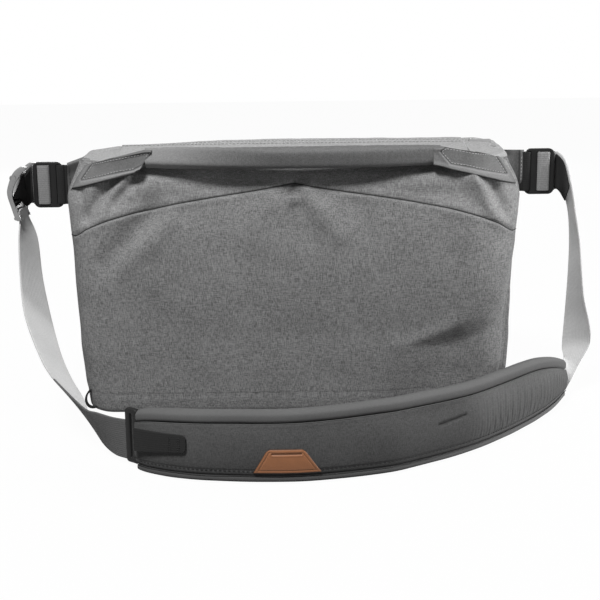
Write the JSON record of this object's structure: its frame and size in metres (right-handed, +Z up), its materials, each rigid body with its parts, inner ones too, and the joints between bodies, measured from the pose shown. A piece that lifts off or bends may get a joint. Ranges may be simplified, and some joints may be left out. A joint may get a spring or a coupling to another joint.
{
  "type": "camera sling bag",
  "caption": "Padded camera sling bag with a zipped top, grab handle, movable dividers and a wide padded shoulder strap with a quick adjuster.",
  "frame": {"origin": "centre of the base, on the floor", "axes": "+Z up, -Y towards the front with the grab handle, +X to the right seen from the front"},
  "size_m": [0.5947, 0.3482, 0.2622],
  "materials": {
    "shell_fabric": "matt heather weave, mid grey",
    "trim_fabric": "matt weave, light grey",
    "ribbed_fabric": "fine ribbed weave, dark grey",
    "foam": "closed-cell foam, matt",
    "lining_fabric": "smooth brushed lining, light grey",
    "webbing_light": "ribbed webbing, light grey",
    "webbing_dark": "ribbed webbing, near black",
    "black_plastic": "satin moulded nylon, black",
    "satin_metal": "satin, die-cast",
    "steel": "brushed",
    "zip_tape": "woven, black",
    "pad_fabric": "matt weave, dark grey",
    "pad_mesh": "air mesh, black",
    "leather": "smooth tan, dark burnished edges"
  },
  "bodies": {
    "bag": {"base_panel": "shell_fabric", "base_foam": "foam", "front_panel": "shell_fabric", "front_yoke": "shell_fabric", "back_panel": "shell_fabric", "left_side_panel": "shell_fabric", "right_side_panel": "shell_fabric", "front_foam": "foam", "back_foam": "foam", "left_foam": "foam", "right_foam": "foam", "interior_lining": "lining_fabric", "rear_sleeve": "lining_fabric", "front_pocket": "lining_fabric", "handle_patch_left": "ribbed_fabric", "handle_patch_right": "ribbed_fabric", "top_end_left": "trim_fabric", "top_end_right": "trim_fabric", "tab_root_left": "shell_fabric", "tab_root_right": "shell_fabric", "corner_loop_left": "webbing_dark", "corner_loop_right": "webbing_dark"},
    "front_flap": {"top_flap_front": "trim_fabric", "zip_tape_front": "zip_tape", "zip_teeth_front": "black_plastic"},
    "rear_flap": {"top_flap_rear": "trim_fabric", "zip_tape_rear": "zip_tape", "zip_teeth_rear": "black_plastic"},
    "slider": {"zip_slider": "steel"},
    "puller": {"zip_puller": "steel"},
    "handle": {"handle_cover": "shell_fabric", "handle_core": "foam"},
    "divider_l": {"divider_left": "lining_fabric"},
    "divider_r": {"divider_right": "lining_fabric"},
    "divider_flap_l": {"divider_flap_left": "lining_fabric"},
    "divider_flap_r": {"divider_flap_right": "lining_fabric"},
    "strap": {"tab_loop_left": "webbing_light", "tab_loop_right": "webbing_light", "strap_frame_left": "black_plastic", "strap_frame_right": "black_plastic", "keeper_left": "webbing_dark", "keeper_right": "webbing_dark", "anchor_web_left": "webbing_light", "webbing_right": "webbing_light", "webbing_left": "webbing_light", "webbing_left_tail": "webbing_dark", "adjuster_body": "satin_metal", "adjuster_pin": "steel", "adjuster_screws": "steel", "pad_core": "foam", "pad_face": "pad_fabric", "pad_back": "pad_mesh", "pad_border_top": "trim_fabric", "pad_border_bottom": "webbing_dark", "leather_patch": "leather", "pad_ring": "black_plastic", "pad_ring_loop": "webbing_dark"},
    "lever": {"adjuster_lever": "black_plastic"},
    "tab": {"pull_tab": "webbing_dark"}
  },
  "joints": [
    {"name": "front_flap_hinge", "type": "hinge", "parent": "bag", "child": "front_flap", "pos_m": [0, -0.056, 0.2508], "axis": [1, 0, 0], "range_deg": [0, 75]},
    {"name": "rear_flap_hinge", "type": "hinge", "parent": "bag", "child": "rear_flap", "pos_m": [0, 0.056, 0.2508], "axis": [-1, 0, 0], "range_deg": [0, 100]},
    {"name": "slider_run", "type": "slide", "parent": "bag", "child": "slider", "axis": [1, 0, 0], "range_m": [-0.356, 0]},
    {"name": "puller_swing", "type": "hinge", "parent": "slider", "child": "puller", "pos_m": [0.178, -0.004, 0.2588], "axis": [0, -1, 0], "range_deg": [0, 180]},
    {"name": "handle_lift", "type": "hinge", "parent": "bag", "child": "handle", "pos_m": [0, -0.073, 0.25], "axis": [-1, 0, 0], "range_deg": [0, 45]},
    {"name": "divider_left_slide", "type": "slide", "parent": "bag", "child": "divider_l", "axis": [1, 0, 0], "range_m": [-0.06, 0]},
    {"name": "divider_right_slide", "type": "slide", "parent": "bag", "child": "divider_r", "axis": [-1, 0, 0], "range_m": [-0.06, 0]},
    {"name": "divider_left_fold", "type": "hinge", "parent": "divider_l", "child": "divider_flap_l", "pos_m": [-0.074, 0, 0.1783], "axis": [0, 1, 0], "range_deg": [-90, 0]},
    {"name": "divider_right_fold", "type": "hinge", "parent": "divider_r", "child": "divider_flap_r", "pos_m": [0.074, 0, 0.1783], "axis": [0, -1, 0], "range_deg": [-90, 0]},
    {"name": "strap_swing", "type": "hinge", "parent": "bag", "child": "strap", "pos_m": [0, 0, 0.2235], "axis": [-1, 0, 0], "range_deg": [0, 210]},
    {"name": "lever_lift", "type": "hinge", "parent": "strap", "child": "lever", "pos_m": [-0.278, 0, 0.229], "axis": [0, 1, 0], "range_deg": [0, 60]},
    {"name": "pull_tab_swing", "type": "hinge", "parent": "strap", "child": "tab", "pos_m": [-0.1375, -0.2415, 0.0325], "axis": [0, 0, -1], "range_deg": [0, 90]}
  ]
}
